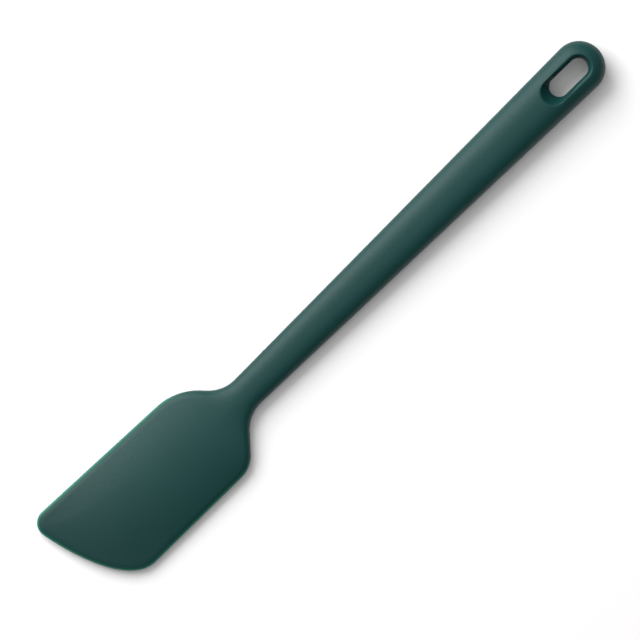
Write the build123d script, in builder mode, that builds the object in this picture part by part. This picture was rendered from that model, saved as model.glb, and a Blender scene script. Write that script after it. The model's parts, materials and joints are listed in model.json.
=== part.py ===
from build123d import *
from math import radians, tan
import os

# One-piece silicone scraper spatula: a seamless silicone skin moulded over a nylon
# handle core, with a perforated spring-steel insert that stiffens the blade.
#
# Frame: X runs along the tool from the blade tip (-) to the hanging end (+), Y runs
# across it, and Z points up from the flat surface that the tool lies on.

# Driving dimensions, mm and degrees. A "station" is a distance from the blade tip, and
# left and right are +Y and -Y.

overall_length = 290.0

# blade, seen from above
blade_width = 45.2
blade_left_taper = 1.8
tip_corner_radius = 5.7
tip_lead_angle = 10.9
tip_slant_length = 24.3
tip_slant_reach = 17.9
tip_heel_reach = 12.6
shoulder_station = 77.2
shoulder_left_radius = 24.0
shoulder_right_radius = 12.7
shoulder_left_angle = 45.3
shoulder_right_angle = 48.1
shoulder_skew = 2.2

# blade, seen from the side: how far it rises and falls from the plane of its rim, which
# lies a little below the middle plane of the handle
rim_drop = 0.2
tip_rise = 1.25
tip_fall = 1.2
belly_station = 38.0
belly_rise = 5.0
belly_fall = 3.3
root_rise = 4.95
root_fall = 3.8
stub_rise = 3.6
stub_fall = 3.2
rim_half_thickness = 0.95
root_rim_half_thickness = 1.15
rim_radius = 0.8

# neck and handle
neck_width = 13.7
neck_thickness = 9.1
neck_lead = 6.7
blend_root_half_thickness = 4.0
handle_end_width = 20.8
handle_end_thickness = 13.8
rest_flat_depth = 0.25

# the blade's stub, which the neck covers
stub_width = 7.6
stub_length = 4.0
stub_fillet = 6.0

# hanging slot and the flared recess around it
slot_length = 18.6
slot_width = 7.8
slot_end_wall = 6.7
flare_side = 2.0
flare_at_end = 1.5
flare_at_blade = 4.4
flare_depth = 4.6
flare_below_crest = 1.2

# nylon core
skin = 1.8
slot_skin = 2.6
core_nose_width = 15.0
core_nose_length = 15.0
core_nose_thickness = 4.0
core_hole_diameter = 4.0
core_hole_count = 6
core_hole_margin = 8.0

# steel insert
insert_thickness = 0.8
insert_width = 24.0
insert_length = 48.0
insert_to_core = 5.0
insert_corner_radius = 7.0
insert_hole_diameter = 4.6
insert_hole_columns = 4
insert_hole_spacing = 10.5
insert_row_spacing = 12.0
tang_width = 7.0
tang_grip = 28.0
tang_hole_diameter = 3.0
tang_hole_spacing = 9.0

# Values that follow from the driving dimensions

half_length = overall_length / 2
half_width = blade_width / 2
neck_run = (half_width - neck_width / 2) / tan(radians(shoulder_right_angle)) + neck_lead
neck_station = shoulder_station + neck_run
stub_station = neck_station + stub_length
cap_station = overall_length - handle_end_width / 2
slot_station = overall_length - slot_end_wall - slot_length / 2
mid_slope = (handle_end_thickness - neck_thickness) / 2 / (cap_station - neck_station)
cut_height = 4 * handle_end_thickness
overrun = 3.0


def x_at(station):
    """X of a station, with the origin at mid length."""
    return station - half_length


def mid_height(station):
    """Height of the tool's middle plane: the handle's underside lies level on Z = 0."""
    return neck_thickness / 2 - rest_flat_depth + mid_slope * (station - neck_station)


def section_plane(station, drop=0):
    """A plane across the tool, X along Y and Y up, centred on the middle plane or below it."""
    return Plane(
        origin=(x_at(station), 0, mid_height(station) - drop), x_dir=(0, 1, 0), z_dir=(1, 0, 0)
    )


def slot_outline(height, at_side=0, at_end=0, at_blade=0):
    """The hanging slot's obround at a height, widened by the flare on each side."""
    middle = slot_station + (at_end - at_blade) / 2
    with BuildSketch(Plane.XY.offset(height)) as outline:
        with Locations((x_at(middle), 0)):
            SlotOverall(slot_length + at_end + at_blade, slot_width + 2 * at_side)
    return outline.sketch


def oval_cap(wide, thick):
    """The half ball, flattened to an oval, that rounds off the handle's end."""
    with BuildPart() as cap:
        Sphere(wide)
        split(bisect_by=Plane.YZ, keep=Keep.TOP)
        scale(by=(1, 1, thick / wide))
    return cap.part.moved(Location((x_at(cap_station), 0, mid_height(cap_station))))


middle_plane = Plane(
    origin=(x_at(neck_station), 0, mid_height(neck_station)),
    x_dir=(1, 0, mid_slope),
    z_dir=(-mid_slope, 0, 1),
)

# Spring-steel insert: a perforated tongue in the blade and a tang inside the core.
# Its places are measured along the middle plane, from the neck.

nose = -core_nose_length
tang_end = nose + tang_grip
tongue_end = nose - insert_to_core
tongue_middle = tongue_end - insert_length / 2
tang_length = tang_end - tongue_end + tang_width

with BuildPart() as blade_insert:
    with BuildSketch(middle_plane):
        with Locations((tongue_middle, 0)):
            RectangleRounded(insert_length, insert_width, insert_corner_radius)
        with Locations((tang_end - tang_length / 2, 0)):
            Rectangle(tang_length, tang_width)
        with Locations((tongue_middle, 0)):
            with GridLocations(insert_hole_spacing, insert_row_spacing, insert_hole_columns, 2):
                Circle(insert_hole_diameter / 2, mode=Mode.SUBTRACT)
        with Locations((tang_end - tang_hole_spacing, 0)):
            with GridLocations(tang_hole_spacing, tang_width, 2, 1):
                Circle(tang_hole_diameter / 2, mode=Mode.SUBTRACT)
    extrude(amount=insert_thickness / 2, both=True)
blade_insert.part.label = "blade_insert"

# Nylon core: an oval bar one skin inside the handle, with a ring around the slot

neck_half_width = neck_width / 2
neck_half_thickness = neck_thickness / 2
end_half_width = handle_end_width / 2
end_half_thickness = handle_end_thickness / 2
first_hole = neck_station + tang_end + core_hole_margin
ring_at_blade = flare_at_blade + skin
last_hole = slot_station - slot_length / 2 - ring_at_blade - core_hole_margin
hole_step = (last_hole - first_hole) / (core_hole_count - 1)

core_cap = oval_cap(end_half_width - skin, end_half_thickness - skin)

with BuildPart() as handle_core:
    with BuildSketch(section_plane(neck_station + nose)):
        Ellipse(core_nose_width / 2, core_nose_thickness / 2)
    with BuildSketch(section_plane(neck_station)):
        Ellipse(neck_half_width - skin, neck_half_thickness - skin)
    with BuildSketch(section_plane(cap_station)):
        Ellipse(end_half_width - skin, end_half_thickness - skin)
    loft(ruled=True)
    add(core_cap)
    add(slot_outline(0, slot_skin, slot_skin, ring_at_blade))
    with BuildSketch(Plane.XY):
        for number in range(core_hole_count):
            with Locations((x_at(first_hole + number * hole_step), 0)):
                Circle(core_hole_diameter / 2)
    extrude(amount=cut_height, both=True, mode=Mode.SUBTRACT)
    add(blade_insert.part, mode=Mode.SUBTRACT)
handle_core.part.label = "handle_core"

# Blade shape: a crowned plate, cut to its outline and rounded along its rim

left_fall = (shoulder_station - tip_corner_radius) * tan(radians(blade_left_taper))
shoulder_left_y = half_width - left_fall
stub_y = stub_width / 2
stub_x = x_at(stub_station)
shoulder_x = x_at(shoulder_station)
left_corner_x = shoulder_x + (shoulder_left_y - stub_y) / tan(radians(shoulder_left_angle))
right_corner_x = shoulder_x + (half_width - stub_y) / tan(radians(shoulder_right_angle))
corner_x = x_at(tip_corner_radius)
corner_y = half_width - tip_corner_radius

with BuildSketch() as blade_outline:
    with BuildLine():
        corner = CenterArc(
            (corner_x, corner_y),
            tip_corner_radius,
            90 - blade_left_taper,
            90 + blade_left_taper + tip_lead_angle,
        )
        slant_start = corner @ 1
        heel = Vector(x_at(tip_slant_length), -half_width)
        Bezier(
            slant_start,
            slant_start + (corner % 1) * tip_slant_reach,
            heel - Vector(tip_heel_reach, 0),
            heel,
        )
        right_side = FilletPolyline(
            heel,
            (shoulder_x, -half_width),
            (right_corner_x, -stub_y),
            (stub_x, -stub_y),
            radius=[shoulder_right_radius, stub_fillet],
        )
        left_side = FilletPolyline(
            corner @ 0,
            (shoulder_x, shoulder_left_y),
            (left_corner_x, stub_y),
            (stub_x, stub_y),
            radius=[shoulder_left_radius, stub_fillet],
        )
        Line(right_side @ 1, left_side @ 1)
    make_face()


def crown_section(station, rise, fall, rim):
    """A lens across the blade, wider than it, with arcs above and below."""
    reach = half_width + overrun
    with BuildSketch(section_plane(station, rim_drop)) as lens:
        with BuildLine():
            top = ThreePointArc((-reach, rim), (0, rise), (reach, rim))
            bottom = ThreePointArc((-reach, -rim), (0, -fall), (reach, -rim))
            Line(top @ 0, bottom @ 0)
            Line(top @ 1, bottom @ 1)
        make_face()
    return lens.sketch


with BuildPart() as blade:
    add(crown_section(-overrun, tip_rise, tip_fall, rim_half_thickness))
    add(crown_section(belly_station, belly_rise, belly_fall, rim_half_thickness))
    add(crown_section(shoulder_station, root_rise, root_fall, root_rim_half_thickness))
    add(crown_section(stub_station, stub_rise, stub_fall, root_rim_half_thickness))
    loft()
    with BuildSketch(Plane.XY.offset(-cut_height)):
        add(blade_outline.sketch)
    extrude(amount=2 * cut_height, mode=Mode.INTERSECT)
    rim_edges = faces().sort_by(Axis.Z)[-1].edges() + faces().sort_by(Axis.Z)[0].edges()
    fillet(rim_edges.filter_by(Axis.Y, reverse=True), min(rim_radius, 0.85 * rim_half_thickness))

# Silicone body: blade, neck and handle in one moulding around the core and the insert

outer_cap = oval_cap(end_half_width, end_half_thickness)

# Ovals that carry the neck into the blade: distance before the neck as a share of the
# neck run, then how far each has widened and thinned toward the blade's root
blend_sections = [
    (1.25, 0.80, 1.70),
    (0.77, 0.54, 1.05),
    (0.53, 0.27, 0.45),
    (0.36, 0.11, 0.20),
    (0.19, 0.02, 0.05),
    (0.0, 0.0, 0.0),
]


with BuildPart() as slot_cutter:
    for side in (-1, 1):
        lip = mid_height(slot_station) + side * (end_half_thickness - flare_below_crest)
        add(slot_outline(lip - side * flare_depth))
        add(slot_outline(lip, flare_side, flare_at_end, flare_at_blade))
        loft()
        add(slot_outline(lip, flare_side, flare_at_end, flare_at_blade))
        extrude(amount=side * cut_height)
    add(slot_outline(0))
    extrude(amount=cut_height, both=True)

with BuildPart() as silicone_body:
    for back, widening, thinning in blend_sections:
        widen = widening * (half_width - neck_half_width)
        thin = thinning * (neck_half_thickness - blend_root_half_thickness)
        with BuildSketch(section_plane(neck_station - back * neck_run)):
            with Locations((-widening * shoulder_skew, 0)):
                Ellipse(neck_half_width + widen, neck_half_thickness - thin)
    loft()
    with BuildSketch(section_plane(neck_station)):
        Ellipse(neck_half_width, neck_half_thickness)
    with BuildSketch(section_plane(cap_station)):
        Ellipse(end_half_width, end_half_thickness)
    loft()
    add(outer_cap)
    add(blade.part)
    split(bisect_by=Plane.XY, keep=Keep.TOP)
    add(slot_cutter.part, mode=Mode.SUBTRACT)
    add(handle_core.part, mode=Mode.SUBTRACT)
    add(blade_insert.part, mode=Mode.SUBTRACT)
silicone_body.part.label = "silicone_body"

os.makedirs("parts", exist_ok=True)
export_step(silicone_body.part, "parts/silicone_body.step")
export_step(handle_core.part, "parts/handle_core.step")
export_step(blade_insert.part, "parts/blade_insert.step")
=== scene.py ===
import json
import math

import bpy
import numpy as np
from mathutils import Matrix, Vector


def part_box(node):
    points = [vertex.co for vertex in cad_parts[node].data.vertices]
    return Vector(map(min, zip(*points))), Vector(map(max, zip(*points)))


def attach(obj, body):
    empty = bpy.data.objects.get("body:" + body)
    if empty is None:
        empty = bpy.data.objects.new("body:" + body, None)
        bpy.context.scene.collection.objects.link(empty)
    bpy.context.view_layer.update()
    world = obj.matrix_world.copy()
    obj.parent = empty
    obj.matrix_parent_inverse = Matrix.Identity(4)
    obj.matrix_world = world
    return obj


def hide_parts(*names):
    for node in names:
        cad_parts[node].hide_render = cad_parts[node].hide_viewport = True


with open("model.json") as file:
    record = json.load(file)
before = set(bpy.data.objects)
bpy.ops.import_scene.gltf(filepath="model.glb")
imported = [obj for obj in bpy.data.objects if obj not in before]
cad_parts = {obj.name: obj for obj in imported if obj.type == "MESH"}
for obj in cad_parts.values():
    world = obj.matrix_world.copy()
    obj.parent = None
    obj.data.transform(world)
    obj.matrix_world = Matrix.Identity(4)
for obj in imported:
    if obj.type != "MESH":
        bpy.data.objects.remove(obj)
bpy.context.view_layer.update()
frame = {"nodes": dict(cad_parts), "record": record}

# One-piece silicone scraper spatula, lying on a white floor and seen from straight above.
#
# The silicone is built here as one structured quad mesh: an edge-loop band follows the
# outline, a grid fills the blade and the handle, and rings close in on the hanging slot.
# Lengths in the mesh code are millimetres. A "station" is a distance from the blade tip,
# and left and right are +Y and -Y.

MM = 0.001

# ---------------------------------------------------------------- sizes from the frame

body_low, body_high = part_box("silicone_body")
hang_slot = next(m for m in frame["record"]["mounts"] if m["name"] == "hang_slot")
LENGTH = (body_high.x - body_low.x) / MM
HALF_WIDTH = (body_high.y - body_low.y) / 2 / MM
SLOT_RADIUS = hang_slot["dims"]["r_mm"]
SLOT_LENGTH = hang_slot["dims"]["slot_length_mm"]
SLOT_STATION = (hang_slot["pos_m"][0] - body_low.x) / MM

# ---------------------------------------------------------------- shape

# outline and handle, close to the CAD's own
LEFT_TAPER = math.radians(1.8)
CORNER_RADIUS = 5.7
LEAD_ANGLE = math.radians(10.9)
SLANT_LENGTH = 24.3
SLANT_REACH = 17.9
HEEL_REACH = 12.6
SHOULDER_STATION = 77.2
SHOULDER_SLOPES = (math.radians(45.3), math.radians(48.1))
SHOULDER_RADII = (24.0, 12.7)
NECK_FILLET = 14.4
NECK_STATION = 98.0
NECK_HALF_WIDTH = 6.85
NECK_HALF_THICKNESS = 4.55
END_RADIUS = 10.4
END_HALF_THICKNESS = 6.9
CAP_STATION = LENGTH - END_RADIUS
REST_FLAT = 0.25
MID_SLOPE = (END_HALF_THICKNESS - NECK_HALF_THICKNESS) / (CAP_STATION - NECK_STATION)

# blade: how far it rises and falls from the plane of its rim, at the tip and at the root,
# and the nose and bevel that follow the rim, and the softer band along it that takes the rim's tint and
# painted light
RIM_DROP = 0.2
RISE = (1.3, 5.4)
FALL = (1.2, 3.6)
RIM_HALF_THICKNESS = (0.85, 1.1)
RIM_NOSE = 0.9
RIM_BAND = 2.4
BEVEL_WIDTH = 2.2
BEVEL_DROP = 0.6
BEVEL_AT_TIP = 0.6
BEVEL_FROM, BEVEL_TO = 84.0, 97.0
TIP_FOLLOW = 0.5
THICKENING_LENGTH = 58.0
THICKENING_POWER = 3.0

# where the blade's section turns into the handle's, and how square the handle's is
BLEND_FROM, BLEND_TO = 70.0, 98.0
HANDLE_SQUARENESS = 2.3

# how softly the underside meets the floor
REST_SOFTNESS = 0.12

# recess around the hanging slot: a scoop toward the blade, and rounded lips elsewhere
SCOOP_SIDE = 1.35
LIP_SIDE = 2.0
FLARE_AT_END = 1.5
FLARE_AT_BLADE = 4.5
FLARE_DEPTH = 5.4
FLARE_LIP_SOFTNESS = 0.07
RECESS_FROM, RECESS_TO = 240.0, 252.0
LEAST_LIP_WIDTH = 1.0
LIP_DEPTH = 4.2
LIP_TURN = 0.97
LIP_BLEND = 10.0

# height of the mould's parting line round the outline
PARTING_RIDGE = 0.05

# mesh density, the steps along curves, and how many points are measured at a time
BAND = 3.2
BAND_LOOPS = 14
ROWS = (60, 44, 66)
ROW_STATIONS = (70.0, NECK_STATION, 256.0)
COLUMNS = 56
END_STEPS = (16, 14, 24)
SLOT_RINGS = 30
WALL_RINGS = 6
CORNER_STEPS = 80
SLANT_STEPS = 160
FILLET_STEPS = 60
DISTANCE_BATCH = 512


def smooth_step(value, low, high):
    share = np.clip((value - low) / (high - low), 0, 1)
    return share * share * (3 - 2 * share)


def mid_height(station):
    """Height of the parting plane, so that the handle's underside lies level on the floor."""
    return NECK_HALF_THICKNESS - REST_FLAT + MID_SLOPE * (station - NECK_STATION)


# ---------------------------------------------------------------- outline, seen from above


def arc(centre, radius, start, end, steps):
    """Points along an arc, its ends included. Angles are from +X, in radians."""
    angles = np.linspace(start, end, steps + 1)
    return np.c_[centre[0] + radius * np.cos(angles), centre[1] + radius * np.sin(angles)]


def rounded_path(points, radii):
    """A polyline whose inner corners are rounded with these radii."""
    path = [points[0]]
    for before, corner, after, radius in zip(points, points[1:], points[2:], radii):
        before, corner, after = (Vector(p) for p in (before, corner, after))
        back = (before - corner).normalized()
        on = (after - corner).normalized()
        half = back.angle(on) / 2
        centre = corner + (back + on).normalized() * radius / math.sin(half)
        first = corner + back * radius / math.tan(half)
        last = corner + on * radius / math.tan(half)
        for step in range(FILLET_STEPS + 1):
            spoke = (first - centre).slerp(last - centre, step / FILLET_STEPS)
            path.append(tuple(centre + spoke.normalized() * radius))
    path.append(points[-1])
    return np.array(path)


def blade_side(side, start, slope, shoulder_radius):
    """One side from the blade to the handle's end: side is 1 on the left and -1 on the right."""
    taper = LEFT_TAPER if side > 0 else 0
    shoulder_y = start[1] - (SHOULDER_STATION - start[0]) * math.tan(taper)
    growth = (END_RADIUS - NECK_HALF_WIDTH) / (CAP_STATION - NECK_STATION)
    run = (abs(shoulder_y) - NECK_HALF_WIDTH) / math.tan(slope)
    neck_corner = SHOULDER_STATION + run
    neck_y = NECK_HALF_WIDTH + growth * (neck_corner - NECK_STATION)
    points = [
        start,
        (SHOULDER_STATION, shoulder_y),
        (neck_corner, side * neck_y),
        (CAP_STATION, side * END_RADIUS),
    ]
    return rounded_path(points, (shoulder_radius, NECK_FILLET))


def tip_curve():
    """The slanted tip, from the right side's start round to the left side's start."""
    centre = (CORNER_RADIUS, HALF_WIDTH - CORNER_RADIUS)
    corner = arc(centre, CORNER_RADIUS, math.pi / 2 - LEFT_TAPER, math.pi + LEAD_ANGLE, CORNER_STEPS)
    lead = np.array([math.sin(LEAD_ANGLE), -math.cos(LEAD_ANGLE)])
    heel = np.array([SLANT_LENGTH, -HALF_WIDTH])
    control = [corner[-1], corner[-1] + SLANT_REACH * lead, heel - [HEEL_REACH, 0], heel]
    share = np.linspace(0, 1, SLANT_STEPS + 1)[:, None]
    weights = [(1 - share) ** 3, 3 * (1 - share) ** 2 * share, 3 * (1 - share) * share**2, share**3]
    slant = sum(weight * point for weight, point in zip(weights, control))
    return np.vstack([corner, slant[1:]])[::-1]


def along(path, steps):
    """Points evenly spaced along a path, its ends included."""
    lengths = np.r_[0, np.cumsum(np.hypot(*np.diff(path, axis=0).T))]
    wanted = np.linspace(0, lengths[-1], steps + 1)
    return np.c_[np.interp(wanted, lengths, path[:, 0]), np.interp(wanted, lengths, path[:, 1])]


tip = tip_curve()
left_path = blade_side(1, tuple(tip[-1]), SHOULDER_SLOPES[0], SHOULDER_RADII[0])
right_path = blade_side(-1, tuple(tip[0]), SHOULDER_SLOPES[1], SHOULDER_RADII[1])


def side_rows(path):
    """Points on one side, one for each row of the grid, from the tip to the slot's rings."""
    stations = [path[0, 0]]
    for count, end in zip(ROWS, ROW_STATIONS):
        stations.extend(np.linspace(stations[-1], end, count + 1)[1:])
    return np.c_[stations, np.interp(stations, path[:, 0], path[:, 1])]


def half_width(station):
    """Mean half width of the outline at a station."""
    left = np.interp(station, left_path[:, 0], left_path[:, 1])
    right = np.interp(station, right_path[:, 0], -right_path[:, 1])
    return (left + right) / 2


def end_points():
    """The outline round the hanging end, from the left side to the right, ends included."""
    slot_arc = SLOT_STATION - SLOT_LENGTH / 2 + SLOT_RADIUS
    stations = np.r_[
        np.linspace(ROW_STATIONS[-1], slot_arc, END_STEPS[0] + 1),
        np.linspace(slot_arc, CAP_STATION, END_STEPS[1] + 1)[1:],
    ]
    side = np.c_[stations, np.interp(stations, left_path[:, 0], left_path[:, 1])]
    cap = arc((CAP_STATION, 0), END_RADIUS, math.pi / 2, -math.pi / 2, 2 * END_STEPS[2])
    return np.vstack([side, cap[1:-1], side[::-1] * [1, -1]])


left_rows = side_rows(left_path)
right_rows = side_rows(right_path)
tip_points = along(tip, COLUMNS)
end_loop = end_points()
outline = np.vstack([left_rows, end_loop[1:-1], right_rows[::-1], tip_points[1:-1]])
ROW_COUNT = len(left_rows)
END_COUNT = len(end_loop) - 2

# where each stretch lies in the outline, and in every loop that follows it
LEFT = slice(0, ROW_COUNT)
END = slice(ROW_COUNT, ROW_COUNT + END_COUNT)
RIGHT = slice(ROW_COUNT + END_COUNT, 2 * ROW_COUNT + END_COUNT)
TIP = slice(2 * ROW_COUNT + END_COUNT, None)


def inward_normals(loop):
    """Unit vectors that point into a closed loop, one at each of its points."""
    ahead = np.roll(loop, -1, axis=0) - loop
    ahead /= np.hypot(*ahead.T)[:, None]
    along_loop = ahead + np.roll(ahead, 1, axis=0)
    along_loop /= np.hypot(*along_loop.T)[:, None]
    return np.c_[along_loop[:, 1], -along_loop[:, 0]]


def edge_distance(points, loop):
    """Distance from each point to a closed loop of short straight segments."""
    start = loop
    span = np.roll(loop, -1, axis=0) - loop
    size = (span**2).sum(1)
    found = np.empty(len(points))
    for first in range(0, len(points), DISTANCE_BATCH):
        batch = slice(first, first + DISTANCE_BATCH)
        part = points[batch, None] - start
        share = np.clip((part * span).sum(2) / size, 0, 1)
        found[batch] = np.sqrt(((part - share[..., None] * span) ** 2).sum(2).min(1))
    return found


# ---------------------------------------------------------------- thickness at a point


def obround_distance(points, length, radius, centre):
    """Distance outside an obround that lies along X, negative inside it."""
    straight = length / 2 - radius
    along_x = np.clip(points[:, 0] - centre, -straight, straight)
    return np.hypot(points[:, 0] - centre - along_x, points[:, 1]) - radius


def rim_nose(edge):
    """The rim's rounded nose: 0 at the outline, growing to 1 a nose's length inside it."""
    return np.sqrt(1 - (1 - np.clip(edge / RIM_NOSE, 0, 1)) ** 2)


def bevel(points, edge, from_tip):
    """The shallow bevel inside the blade's rim, which dies out where the neck begins."""
    growth = BEVEL_AT_TIP + (1 - BEVEL_AT_TIP) * smooth_step(from_tip, 0, THICKENING_LENGTH)
    fade = 1 - smooth_step(points[:, 0], BEVEL_FROM, BEVEL_TO)
    return BEVEL_DROP * growth * fade * np.clip(1 - edge / BEVEL_WIDTH, 0, 1) * rim_nose(edge)


def blade_thickness(points, edge, from_tip, middle_range):
    """Thickness of the blade on one side of its rim plane."""
    crown = 1 - np.clip(np.abs(points[:, 1]) / HALF_WIDTH, 0, 1) ** 2
    growth = 1 - (1 - np.clip(from_tip / THICKENING_LENGTH, 0, 1)) ** THICKENING_POWER
    middle = middle_range[0] + (middle_range[1] - middle_range[0]) * growth
    rim = RIM_HALF_THICKNESS[0] + (RIM_HALF_THICKNESS[1] - RIM_HALF_THICKNESS[0]) * growth
    return (rim + (middle - rim) * crown) * rim_nose(edge)


def handle_half_thickness(points, edge):
    """Half the thickness of the handle's squarish oval section."""
    width = half_width(points[:, 0])
    middle = NECK_HALF_THICKNESS + MID_SLOPE * (np.minimum(points[:, 0], CAP_STATION) - NECK_STATION)
    across = np.clip(1 - edge / width, 0, 1)
    power = HANDLE_SQUARENESS
    return middle * (1 - across**power) ** (1 / power)


def slot_recess(points):
    """How far the flared recess drops each face: a scoop toward the blade, rounded lips elsewhere."""
    inside = obround_distance(points, SLOT_LENGTH, SLOT_RADIUS, SLOT_STATION)
    lip_length = SLOT_LENGTH + FLARE_AT_BLADE + FLARE_AT_END
    lip_centre = SLOT_STATION + (FLARE_AT_END - FLARE_AT_BLADE) / 2

    def way_in(side):
        """0 outside the lip, growing to 1 at the slot's edge."""
        lip = -obround_distance(points, lip_length, SLOT_RADIUS + side, lip_centre)
        share = lip / np.maximum(inside + lip, LEAST_LIP_WIDTH)
        return (share + np.sqrt(share**2 + FLARE_LIP_SOFTNESS**2)) / 2

    scoop = FLARE_DEPTH * way_in(SCOOP_SIDE)
    turn = np.clip(LIP_TURN * way_in(LIP_SIDE), 0, 1)
    rounding = LIP_DEPTH * (1 - np.sqrt(1 - turn**2))
    blade_end = SLOT_STATION - SLOT_LENGTH / 2
    at_sides = smooth_step(points[:, 0], blade_end, blade_end + LIP_BLEND)
    return (1 - at_sides) * scoop + at_sides * rounding


def surface_heights(points, edge):
    """Height of the rim plane, and how far the top and the underside stand from it."""
    from_tip_line = edge_distance(points, np.vstack([tip, tip[-2:0:-1]]))
    from_tip = TIP_FOLLOW * from_tip_line + (1 - TIP_FOLLOW) * np.maximum(points[:, 0], 0)
    handle = smooth_step(points[:, 0], BLEND_FROM, BLEND_TO)
    handle_share = handle * handle_half_thickness(points, edge)
    cuts = slot_recess(points) * smooth_step(points[:, 0], RECESS_FROM, RECESS_TO)
    cuts += bevel(points, edge, from_tip)
    rise = (1 - handle) * blade_thickness(points, edge, from_tip, RISE) + handle_share - cuts
    fall = (1 - handle) * blade_thickness(points, edge, from_tip, FALL) + handle_share - cuts
    return mid_height(points[:, 0]) - RIM_DROP * (1 - handle), rise, fall


# ---------------------------------------------------------------- the flat grid


class Grid:
    """Plan points and their distance from the outline. Adding points gives back their indices."""

    def __init__(self):
        self.points = []
        self.edges = []
        self.count = 0

    def add(self, points, edge=None):
        points = np.asarray(points, float)
        self.points.append(points)
        self.edges.append(edge_distance(points, outline) if edge is None else np.full(len(points), edge))
        first = self.count
        self.count += len(points)
        return np.arange(first, self.count)


grid = Grid()
normals = inward_normals(outline)
band = []
for loop in range(BAND_LOOPS + 1):
    depth = BAND * (1 - math.cos(math.pi / 2 * loop / BAND_LOOPS))
    band.append(grid.add(outline + normals * depth, depth))
band = np.array(band)
inner_loop = outline + normals * BAND

# blade and handle: rows from side to side, which bend to the slanted tip near it
inner_left = inner_loop[LEFT]
inner_right = inner_loop[RIGHT][::-1]
inner_tip = inner_loop[TIP][::-1]
left_index = band[-1][LEFT]
right_index = band[-1][RIGHT][::-1]
tip_index = band[-1][TIP][::-1]
across = np.linspace(0, 1, COLUMNS + 1)[1:-1, None]
tip_bend = inner_tip - ((1 - across) * inner_left[0] + across * inner_right[0])
body = np.empty((ROW_COUNT, COLUMNS + 1), int)
body[0] = np.r_[left_index[0], tip_index, right_index[0]]
for row in range(1, ROW_COUNT):
    line = (1 - across) * inner_left[row] + across * inner_right[row]
    if row < ROWS[0]:
        line += (1 - row / ROWS[0]) * tip_bend
    body[row] = np.r_[left_index[row], grid.add(line), right_index[row]]

# rings that close in on the hanging slot
ring_index = np.r_[body[-1], band[-1][END][::-1]]


def slot_edge():
    """Points on the slot's edge that face the points of the outermost ring."""
    straight = SLOT_LENGTH / 2 - SLOT_RADIUS
    blade_arc = (SLOT_STATION - straight, 0)
    end_arc = (SLOT_STATION + straight, 0)
    corner = math.atan2(END_RADIUS, ROW_STATIONS[-1] - blade_arc[0])
    front = arc(blade_arc, SLOT_RADIUS, corner, 2 * math.pi - corner, COLUMNS)
    right_arc = arc(blade_arc, SLOT_RADIUS, 2 * math.pi - corner, 1.5 * math.pi, END_STEPS[0])
    stations = np.linspace(blade_arc[0], end_arc[0], END_STEPS[1] + 1)
    right_side = np.c_[stations, np.full(len(stations), -SLOT_RADIUS)]
    back = arc(end_arc, SLOT_RADIUS, -math.pi / 2, math.pi / 2, 2 * END_STEPS[2])
    left_side = right_side[::-1] * [1, -1]
    left_arc = arc(blade_arc, SLOT_RADIUS, math.pi / 2, corner, END_STEPS[0])
    return np.vstack([front, right_arc[1:], right_side[1:], back[1:], left_side[1:], left_arc[1:-1]])


outer_ring = np.vstack(grid.points)[ring_index]
inner_ring = slot_edge()
rings = [ring_index]
for ring in range(1, SLOT_RINGS + 1):
    share = ring / SLOT_RINGS
    rings.append(grid.add((1 - share) * outer_ring + share * inner_ring))
rings = np.array(rings)

# ---------------------------------------------------------------- the solid mesh

flat_points = np.vstack(grid.points)
flat_edges = np.concatenate(grid.edges)
rim_plane, rise, fall = surface_heights(flat_points, flat_edges)
flat_points[band[0]] -= normals * PARTING_RIDGE
count = len(flat_points)
top = np.c_[flat_points, rim_plane + rise]
lowest = rim_plane - fall
under = np.c_[flat_points, (lowest + np.sqrt(lowest**2 + REST_SOFTNESS**2)) / 2]

wall_top = rings[-1]
wall_share = np.linspace(0, 1, WALL_RINGS + 1)[1:-1]
wall = [(1 - share) * top[wall_top] + share * under[wall_top] for share in wall_share]
vertices = np.vstack([top, under, *wall])

under_index = np.arange(count) + count
under_index[band[0]] = band[0]


def quads(rows, closed=False, flip=False):
    """The quads between neighbouring rows of vertex indices."""
    rows = np.asarray(rows)
    if closed:
        rows = np.hstack([rows, rows[:, :1]])
    corners = [rows[:-1, :-1], rows[:-1, 1:], rows[1:, 1:], rows[1:, :-1]]
    faces = np.stack(corners, -1).reshape(-1, 4)
    return faces[:, ::-1] if flip else faces


wall_rows = [wall_top]
for number in range(len(wall)):
    wall_rows.append(2 * count + number * len(wall_top) + np.arange(len(wall_top)))
wall_rows.append(under_index[wall_top])

faces = np.vstack(
    [
        quads(band, closed=True, flip=True),
        quads(body),
        quads(rings, closed=True),
        quads(under_index[band], closed=True),
        quads(under_index[body], flip=True),
        quads(under_index[rings], closed=True, flip=True),
        quads(wall_rows, closed=True),
    ]
)

used = np.zeros(len(vertices), bool)
used[faces] = True
renumber = np.cumsum(used) - 1
vertices = vertices[used]
faces = renumber[faces]

# 1 at the blade's rim and 0 a band's width inside it, for the rim's tint and its painted light and glow
on_blade = 1 - smooth_step(flat_points[:, 0], BLEND_FROM, BLEND_TO)
thinness = np.clip(1 - flat_edges / RIM_BAND, 0, 1) * on_blade
thinness = np.r_[thinness, thinness, np.zeros(len(wall) * len(wall_top))][used]


def make_mesh(name, vertices, faces):
    """A smooth mesh object, from points in millimetres whose X is a station."""
    mesh = bpy.data.meshes.new(name)
    placed = vertices * MM
    placed[:, 0] += body_low.x
    mesh.from_pydata(placed.tolist(), [], faces.tolist())
    mesh.validate()
    mesh.shade_smooth()
    piece = bpy.data.objects.new(name, mesh)
    bpy.context.scene.collection.objects.link(piece)
    return piece


silicone = make_mesh("silicone_skin", vertices, faces)
rim_layer = silicone.data.attributes.new("rim_thinness", "FLOAT", "POINT")
rim_layer.data.foreach_set("value", thinness.astype(np.float32))

# ---------------------------------------------------------------- materials

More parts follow.
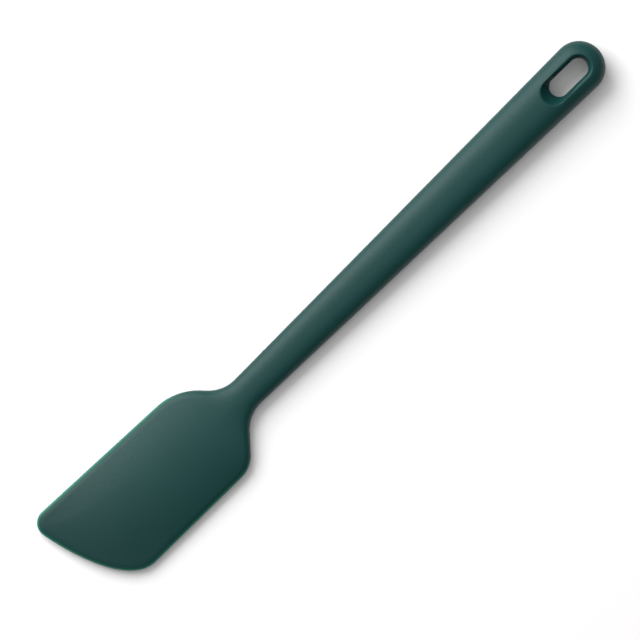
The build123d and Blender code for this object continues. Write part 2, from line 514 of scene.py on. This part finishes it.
# a share's range, and the range that a noise node's values mostly stay in
FULL_RANGE = (0.0, 1.0)
NOISE_RANGE = (0.3, 0.7)

# silicone: linear colours and where they change, gloss, and the texture, whose noise scales
# are per metre and whose depths are in metres
SILICONE_SHADES = ((0.0013, 0.0345, 0.0318), (0.0017, 0.0372, 0.0344))
# painted shade: the blade's colour darkens toward its tip
SILICONE_PAINTED_SHADE_AT_TIP = (0.0010, 0.0285, 0.0265)
# the thin rim's band: the thin silicone's own tint, with painted light coming through it
SILICONE_RIM_TINT_AND_LIGHT = (0.0016, 0.0430, 0.0340)
# painted glow of light shining through the thin rim
SILICONE_PAINTED_GLOW = (0.008, 0.160, 0.108)
# how far from the tip the painted shade reaches, in millimetres
TIP_SHADE_END = 60.0
# where the painted glow starts on the rim, and how it fades on faces that turn sideways
GLOW_FROM = 0.55
GLOW_FULL_FACING = 0.7
GLOW_ON_SIDES = 0.12
SILICONE_ROUGHNESS = (0.45, 0.51)
SILICONE_SPECULAR = 0.33
SILICONE_IOR = 1.41
HAZE = {"scale": 38.0, "detail": 3.0}
CLOUD = {"scale": 850.0, "detail": 3.0, "roughness": 0.6}
CLOUD_DEPTH = 0.00006
GRAIN = {"scale": 5200.0, "detail": 2.0, "roughness": 0.6}
GRAIN_DEPTH = 0.00003
TEXTURE_STRENGTH = 0.8

# nylon and steel, which are out of sight inside the silicone
NYLON_SHADES = ((0.018, 0.018, 0.019), (0.035, 0.035, 0.037))
NYLON_ROUGHNESS = (0.5, 0.68)
FIBRE = {"scale": 900.0, "detail": 4.0, "roughness": 0.7}
FIBRE_DEPTH = 0.00003
FIBRE_STRENGTH = 0.5
STEEL_SHADES = ((0.50, 0.50, 0.50), (0.62, 0.62, 0.61))
STEEL_ROUGHNESS = (0.28, 0.4)
ROLLING_GRAIN = {"scale": 1.0, "detail": 3.0, "stretch": (60.0, 2600.0, 2600.0)}


class Nodes:
    """A short way to add shader nodes to a tree and join them."""

    def __init__(self, tree):
        self.tree = tree

    def add(self, kind, **settings):
        """A new node. Settings that begin with in_ are values of its inputs."""
        node = self.tree.nodes.new(kind)
        for key, value in settings.items():
            if key.startswith("in_"):
                node.inputs[key[3:].replace("_", " ")].default_value = value
            else:
                setattr(node, key, value)
        return node

    def link(self, source, target):
        self.tree.links.new(source, target)

    def place(self, kind):
        return self.add("ShaderNodeTexCoord").outputs[kind]

    def split(self, vector):
        node = self.add("ShaderNodeSeparateXYZ")
        self.link(vector, node.inputs["Vector"])
        return node.outputs

    def multiply(self, first, second):
        node = self.add("ShaderNodeMath", operation="MULTIPLY")
        self.link(first, node.inputs[0])
        self.link(second, node.inputs[1])
        return node.outputs["Value"]

    def absolute(self, source):
        node = self.add("ShaderNodeMath", operation="ABSOLUTE")
        self.link(source, node.inputs[0])
        return node.outputs["Value"]

    def spread(self, source, onto, over=NOISE_RANGE, curve="LINEAR"):
        """Maps a source, whose values run over one range, onto another."""
        node = self.add("ShaderNodeMapRange", interpolation_type=curve)
        for name, value in zip(("From Min", "From Max", "To Min", "To Max"), (*over, *onto)):
            node.inputs[name].default_value = value
        self.link(source, node.inputs["Value"])
        return node.outputs["Result"]

    def noise(self, scale, detail, roughness=0.5, stretch=None):
        vector = self.place("Object")
        if stretch is not None:
            mapping = self.add("ShaderNodeMapping", in_Scale=stretch)
            self.link(vector, mapping.inputs["Vector"])
            vector = mapping.outputs["Vector"]
        node = self.add("ShaderNodeTexNoise", in_Scale=scale, in_Detail=detail, in_Roughness=roughness)
        self.link(vector, node.inputs["Vector"])
        return node.outputs["Fac"]

    def mix(self, share, first, second):
        """A colour between two, each a tuple or another node's output."""
        node = self.add("ShaderNodeMix", data_type="RGBA")
        colours = [s for s in node.inputs if s.type == "RGBA"]
        for socket, value in zip(colours, (first, second)):
            if isinstance(value, tuple):
                socket.default_value = (*value, 1)
            else:
                self.link(value, socket)
        self.link(share, node.inputs[0])
        return next(s for s in node.outputs if s.type == "RGBA")

    def bump(self, height, distance, strength, below=None):
        node = self.add("ShaderNodeBump", in_Strength=strength, in_Distance=distance)
        self.link(height, node.inputs["Height"])
        if below is not None:
            self.link(below, node.inputs["Normal"])
        return node.outputs["Normal"]


class Material(Nodes):
    """A node material with a Principled shader."""

    def __init__(self, name):
        self.material = bpy.data.materials.new(name)
        self.material.use_nodes = True
        super().__init__(self.material.node_tree)
        self.shader = self.tree.nodes["Principled BSDF"]

    def set(self, **values):
        """Sets the shader's own values, the same all over the surface."""
        for key, value in values.items():
            self.shader.inputs[key.replace("_", " ")].default_value = value

    def feed(self, **sources):
        """Joins other nodes' outputs to the shader."""
        for key, source in sources.items():
            self.link(source, self.shader.inputs[key.replace("_", " ")])


def silicone_colour(nodes):
    """Slightly hazy green, with painted shade that deepens it toward the tip, and lighter at the rim:
    the thin silicone's own tint with painted light and a painted glow coming through it.
    """
    haze = nodes.spread(nodes.noise(**HAZE), FULL_RANGE)
    colour = nodes.mix(haze, *SILICONE_SHADES)
    # painted shade, darker toward the tip
    tip_range = (body_low.x + TIP_SHADE_END * MM, body_low.x)
    along_tool = nodes.split(nodes.place("Object"))["X"]
    shade_toward_tip = nodes.spread(along_tool, FULL_RANGE, tip_range, "SMOOTHSTEP")
    colour = nodes.mix(shade_toward_tip, colour, SILICONE_PAINTED_SHADE_AT_TIP)
    rim = nodes.add("ShaderNodeAttribute", attribute_name="rim_thinness").outputs["Fac"]
    # the rim's band: the thin silicone's own tint, with painted light coming through it
    colour = nodes.mix(rim, colour, SILICONE_RIM_TINT_AND_LIGHT)
    # painted glow of light through the thin rim, on its faces that look up or down
    at_rim = nodes.spread(rim, FULL_RANGE, (GLOW_FROM, 1.0), "SMOOTHSTEP")
    upward = nodes.absolute(nodes.split(nodes.place("Normal"))["Z"])
    facing = nodes.spread(upward, (GLOW_ON_SIDES, 1.0), (0.0, GLOW_FULL_FACING), "SMOOTHSTEP")
    return nodes.mix(nodes.multiply(at_rim, facing), colour, SILICONE_PAINTED_GLOW)


def silicone_material():
    """Dark green satin silicone: fine moulded grain, slight haze, and a thin rim with a painted glow of
    light through it.
    """
    nodes = Material("dark_green_silicone")
    cloud = nodes.noise(**CLOUD)
    grain = nodes.noise(**GRAIN)
    soft = nodes.bump(cloud, CLOUD_DEPTH, TEXTURE_STRENGTH)
    nodes.feed(
        Base_Color=silicone_colour(nodes),
        Roughness=nodes.spread(cloud, SILICONE_ROUGHNESS),
        Normal=nodes.bump(grain, GRAIN_DEPTH, TEXTURE_STRENGTH, soft),
    )
    nodes.set(Specular_IOR_Level=SILICONE_SPECULAR, IOR=SILICONE_IOR)
    return nodes.material


def nylon_material():
    """Black glass-filled nylon with its faint fibre mottle."""
    nodes = Material("glass_filled_nylon")
    fibre = nodes.noise(**FIBRE)
    nodes.feed(
        Base_Color=nodes.mix(nodes.spread(fibre, FULL_RANGE), *NYLON_SHADES),
        Roughness=nodes.spread(fibre, NYLON_ROUGHNESS),
        Normal=nodes.bump(fibre, FIBRE_DEPTH, FIBRE_STRENGTH),
    )
    return nodes.material


def steel_material():
    """Rolled stainless spring steel, with its grain along the tool."""
    nodes = Material("rolled_spring_steel")
    grain = nodes.noise(**ROLLING_GRAIN)
    nodes.feed(
        Base_Color=nodes.mix(nodes.spread(grain, FULL_RANGE), *STEEL_SHADES),
        Roughness=nodes.spread(grain, STEEL_ROUGHNESS),
    )
    nodes.set(Metallic=1.0)
    return nodes.material


def give(piece, material):
    """Puts one material on a piece, in place of any that it has."""
    piece.data.materials.clear()
    piece.data.materials.append(material)


give(silicone, silicone_material())
give(frame["nodes"]["handle_core"], nylon_material())
give(frame["nodes"]["blade_insert"], steel_material())
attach(silicone, "root")
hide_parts("silicone_body")

# ---------------------------------------------------------------- floor, light and camera

FLOOR_SIZE = 4.0
FLOOR_COLOUR = (0.806, 0.794, 0.799, 1)
KEY_ELEVATION = math.radians(34)
KEY_DISTANCE = 0.9
KEY_SIZE = 0.93
KEY_POWER = 15.2
SKY_AT_HORIZON = 0.07
SKY_AT_ZENITH = 1.3
SKY_LEAN = 0.93
VIEW_TURN = math.radians(44.348)
VIEW_WIDTH = 0.252
VIEW_CENTRE = (-0.00774, 0.00017)
CAMERA_HEIGHT = 2.5
CAMERA_REACH = 20.0
SENSOR = 36.0


def make_floor():
    """A plain white floor, which isn't part of the object."""
    mesh = bpy.data.meshes.new("floor")
    reach = FLOOR_SIZE / 2
    corners = [(-reach, -reach, 0), (reach, -reach, 0), (reach, reach, 0), (-reach, reach, 0)]
    mesh.from_pydata(corners, [], [(0, 1, 2, 3)])
    floor = bpy.data.objects.new("floor", mesh)
    bpy.context.scene.collection.objects.link(floor)
    nodes = Material("white_floor")
    nodes.set(Base_Color=FLOOR_COLOUR, Roughness=1.0, Specular_IOR_Level=0.0)
    floor.data.materials.append(nodes.material)


def make_softbox():
    """One large softbox on the blade's left side."""
    lamp = bpy.data.lights.new("softbox", "AREA")
    lamp.shape = "SQUARE"
    lamp.size = KEY_SIZE
    lamp.energy = KEY_POWER
    softbox = bpy.data.objects.new("softbox", lamp)
    toward = Vector((0, math.cos(KEY_ELEVATION), math.sin(KEY_ELEVATION)))
    softbox.location = toward * KEY_DISTANCE
    softbox.rotation_euler = toward.to_track_quat("Z", "Y").to_euler()
    bpy.context.scene.collection.objects.link(softbox)


def make_sky():
    """A pale sky that is brightest overhead and leans toward the softbox."""
    world = bpy.data.worlds.new("white_room")
    world.use_nodes = True
    nodes = Nodes(world.node_tree)
    direction = nodes.split(nodes.place("Generated"))
    height = nodes.multiply(direction["Z"], direction["Z"])
    level = nodes.spread(height, (SKY_AT_HORIZON, SKY_AT_ZENITH), FULL_RANGE)
    lean = nodes.spread(direction["Y"], (1 - SKY_LEAN, 1 + SKY_LEAN), (-1.0, 1.0))
    background = world.node_tree.nodes["Background"]
    background.inputs["Color"].default_value = (1, 1, 1, 1)
    nodes.link(nodes.multiply(level, lean), background.inputs["Strength"])
    bpy.context.scene.world = world


def make_camera():
    """Straight above, turned so that the tool runs from lower left to upper right."""
    data = bpy.data.cameras.new("camera")
    data.sensor_width = SENSOR
    subject_height = mid_height(LENGTH / 2) * MM
    data.lens = SENSOR * (CAMERA_HEIGHT - subject_height) / VIEW_WIDTH
    data.clip_end = CAMERA_REACH
    camera = bpy.data.objects.new("camera", data)
    camera.location = (*VIEW_CENTRE, CAMERA_HEIGHT)
    camera.rotation_euler = (0, 0, -VIEW_TURN)
    bpy.context.scene.collection.objects.link(camera)
    bpy.context.scene.camera = camera


# a default scene's own objects, where there is one
for name in ("Cube", "Light", "Camera"):
    leftover = bpy.data.objects.get(name)
    if leftover is not None:
        bpy.data.objects.remove(leftover)
make_floor()
make_softbox()
make_sky()
make_camera()
bpy.context.scene.view_settings.view_transform = "Standard"
